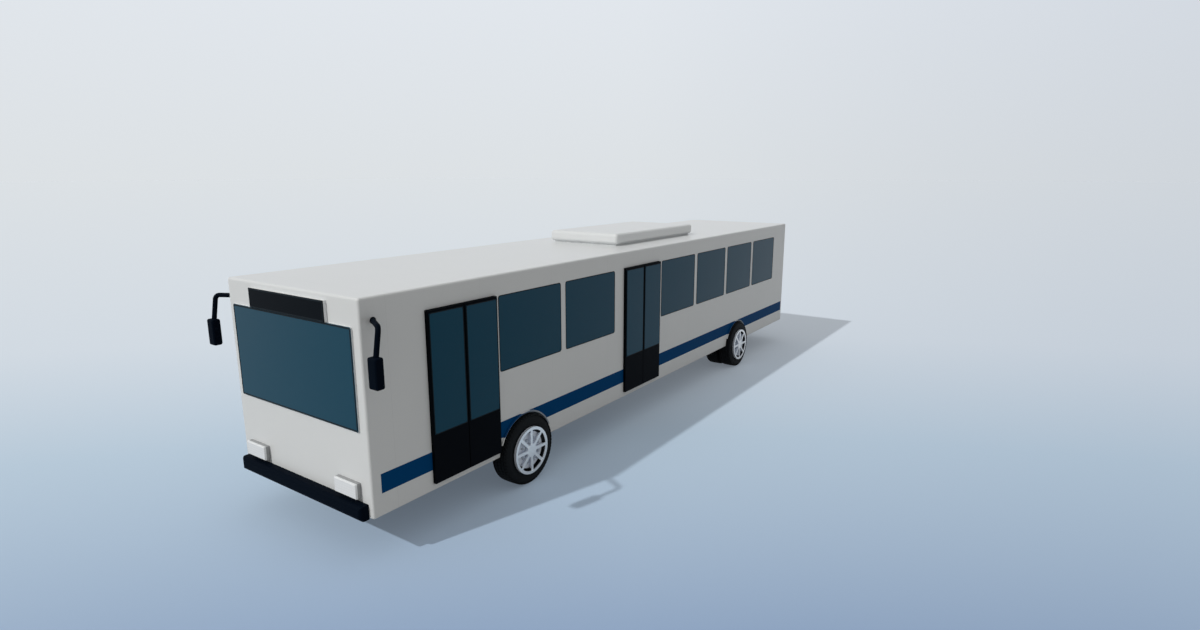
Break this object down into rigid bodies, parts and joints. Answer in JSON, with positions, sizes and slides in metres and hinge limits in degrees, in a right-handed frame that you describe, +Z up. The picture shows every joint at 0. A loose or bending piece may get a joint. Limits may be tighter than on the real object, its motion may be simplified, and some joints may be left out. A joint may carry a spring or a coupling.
{
  "type": "city bus",
  "caption": "Single-deck city bus with double doors in its left side, steered front wheels, twin rear wheels, dark windows, a roof unit and a hinged engine lid.",
  "frame": {"origin": "on the ground, at the bottom centre of the whole bus with its mirrors and bumpers", "axes": "+Z up, +X to the left side of the bus where the doors are, the front faces -Y"},
  "size_m": [3.25, 12.439, 3.125],
  "materials": {
    "white_paint": "gloss bodywork enamel, off-white",
    "blue_stripe": "gloss vinyl film, dark blue",
    "dark_glass": "privacy-tinted, blue-green",
    "black_paint": "satin black enamel",
    "black_plastic": "moulded, fine-grained black",
    "sign_black": "blank smoked cover",
    "lamp_clear": "clear lens over white reflector",
    "lamp_red": "red lens",
    "grey_plastic": "moulded grey",
    "tyre_rubber": "black carcass rubber",
    "wheel_silver": "silver wheel enamel",
    "chassis_steel": "black chassis enamel",
    "axle_iron": "painted casting",
    "spring_rubber": "bellows rubber",
    "floor_vinyl": "speckled safety flooring",
    "seat_blue": "moulded seat shell",
    "driver_fabric": "woven seat fabric",
    "pole_yellow": "powder-coated yellow",
    "mirror_glass": "silvered",
    "engine_grey": "painted engine block"
  },
  "bodies": {
    "bus": {"air_springs": "spring_rubber", "arch_lips": "grey_plastic", "bumpers": "black_plastic", "cab_partition": "grey_plastic", "cross_members": "chassis_steel", "dashboard": "black_plastic", "destination_sign": "sign_black", "driver_seat_base": "grey_plastic", "driver_seat_pads": "driver_fabric", "engine": "engine_grey", "floor": "floor_vinyl", "front_axle": "axle_iron", "front_wall": "white_paint", "grab_poles": "pole_yellow", "headlamps": "lamp_clear", "mirror_faces": "mirror_glass", "mirrors": "black_plastic", "rear_axle": "axle_iron", "rear_wall": "white_paint", "roof": "white_paint", "roof_unit": "white_paint", "seat_backs": "seat_blue", "seat_cushions": "seat_blue", "seat_pedestals": "chassis_steel", "side_rails": "chassis_steel", "side_stripes": "blue_stripe", "side_wall_left": "white_paint", "side_wall_right": "white_paint", "steering_wheel": "black_plastic", "tail_lamps": "lamp_red", "tow_brackets": "chassis_steel", "wheel_housings": "grey_plastic", "windows": "dark_glass", "windscreen": "dark_glass"},
    "knuckle_left": {"knuckle_left": "axle_iron"},
    "wheel_front_left": {"tyre_front_left": "tyre_rubber", "rim_front_left": "wheel_silver"},
    "wheel_rear_left": {"tyres_rear_left": "tyre_rubber", "rim_rear_left": "wheel_silver"},
    "knuckle_right": {"knuckle_right": "axle_iron"},
    "wheel_front_right": {"tyre_front_right": "tyre_rubber", "rim_front_right": "wheel_silver"},
    "wheel_rear_right": {"tyres_rear_right": "tyre_rubber", "rim_rear_right": "wheel_silver"},
    "front_door_1": {"front_door_leaf_1": "black_paint", "front_door_glass_1": "dark_glass"},
    "front_door_2": {"front_door_leaf_2": "black_paint", "front_door_glass_2": "dark_glass"},
    "mid_door_1": {"mid_door_leaf_1": "black_paint", "mid_door_glass_1": "dark_glass"},
    "mid_door_2": {"mid_door_leaf_2": "black_paint", "mid_door_glass_2": "dark_glass"},
    "engine_lid": {"engine_lid": "white_paint"}
  },
  "joints": [
    {"name": "steer_left", "type": "hinge", "parent": "bus", "child": "knuckle_left", "pos_m": [1.14, -3.6495, 0.481], "axis": [0, 0, 1], "range_deg": [-40, 40]},
    {"name": "steer_right", "type": "hinge", "parent": "bus", "child": "knuckle_right", "pos_m": [-1.14, -3.6495, 0.481], "axis": [0, 0, 1], "range_deg": [-40, 40]},
    {"name": "roll_front_left", "type": "hinge", "parent": "knuckle_left", "child": "wheel_front_left", "pos_m": [1.2, -3.6495, 0.481], "axis": [1, 0, 0], "continuous": true},
    {"name": "roll_rear_left", "type": "hinge", "parent": "bus", "child": "wheel_rear_left", "pos_m": [1.2, 3.3165, 0.481], "axis": [1, 0, 0], "continuous": true},
    {"name": "roll_front_right", "type": "hinge", "parent": "knuckle_right", "child": "wheel_front_right", "pos_m": [-1.2, -3.6495, 0.481], "axis": [1, 0, 0], "continuous": true},
    {"name": "roll_rear_right", "type": "hinge", "parent": "bus", "child": "wheel_rear_right", "pos_m": [-1.2, 3.3165, 0.481], "axis": [1, 0, 0], "continuous": true},
    {"name": "front_door_swing_1", "type": "hinge", "parent": "bus", "child": "front_door_1", "pos_m": [1.235, -5.2465, 1.635], "axis": [0, 0, 1], "range_deg": [0, 90]},
    {"name": "front_door_swing_2", "type": "hinge", "parent": "bus", "child": "front_door_2", "pos_m": [1.235, -4.1755, 1.635], "axis": [0, 0, 1], "range_deg": [-90, 0]},
    {"name": "mid_door_swing_1", "type": "hinge", "parent": "bus", "child": "mid_door_1", "pos_m": [1.235, -1.1925, 1.635], "axis": [0, 0, 1], "range_deg": [0, 90]},
    {"name": "mid_door_swing_2", "type": "hinge", "parent": "bus", "child": "mid_door_2", "pos_m": [1.235, -0.1215, 1.635], "axis": [0, 0, 1], "range_deg": [-90, 0]},
    {"name": "engine_lid_lift", "type": "hinge", "parent": "bus", "child": "engine_lid", "pos_m": [0, 6.0975, 1.468], "axis": [1, 0, 0], "range_deg": [0, 75]}
  ],
  "couplings": [
    {"joint": "steer_right", "follows": "steer_left", "ratio": 1},
    {"joint": "front_door_swing_2", "follows": "front_door_swing_1", "ratio": -1},
    {"joint": "mid_door_swing_2", "follows": "mid_door_swing_1", "ratio": -1}
  ]
}
